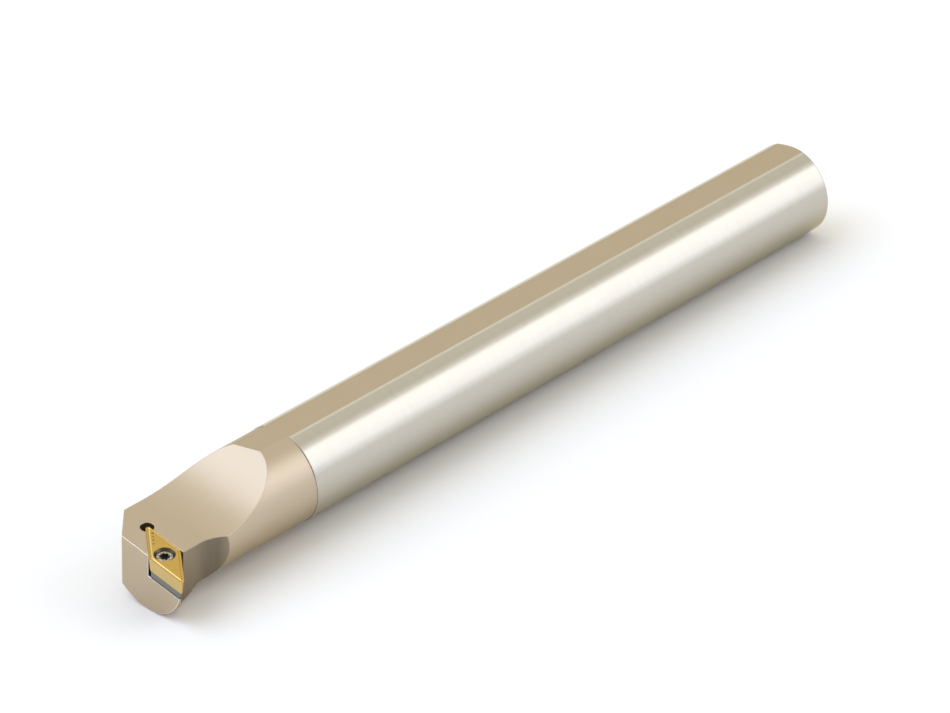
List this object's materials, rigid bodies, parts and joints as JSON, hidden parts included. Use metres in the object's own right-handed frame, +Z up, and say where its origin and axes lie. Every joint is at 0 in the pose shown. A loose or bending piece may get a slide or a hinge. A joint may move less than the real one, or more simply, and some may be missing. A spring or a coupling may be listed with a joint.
{
  "type": "boring bar",
  "caption": "Round steel bar with clamping flats and a dished head that carries a screwed-on rhombic carbide insert, for turning the inside of bores.",
  "frame": {"origin": "centre of the rear end face, on the axis of the round shank", "axes": "+X along the bar towards the cutting end, +Y towards the side the cutting tip stands out on, +Z up, square to the clamping flats; the cutting tip is at x 300 mm, y 22 mm, z 0"},
  "size_m": [0.3, 0.038, 0.0331],
  "materials": {
    "bar": "hardened steel: satin nickel plate on head, neck and flats, bright ground shank",
    "shim": "ground uncoated carbide",
    "shim_screw": "dark hardened steel",
    "insert": "carbide with a golden nitride coating",
    "insert_screw": "dark hardened steel with worn bright edges"
  },
  "bodies": {
    "root": {"bar": "bar", "shim": "shim", "shim_screw": "shim_screw", "insert": "insert", "insert_screw": "insert_screw"}
  },
  "joints": []
}
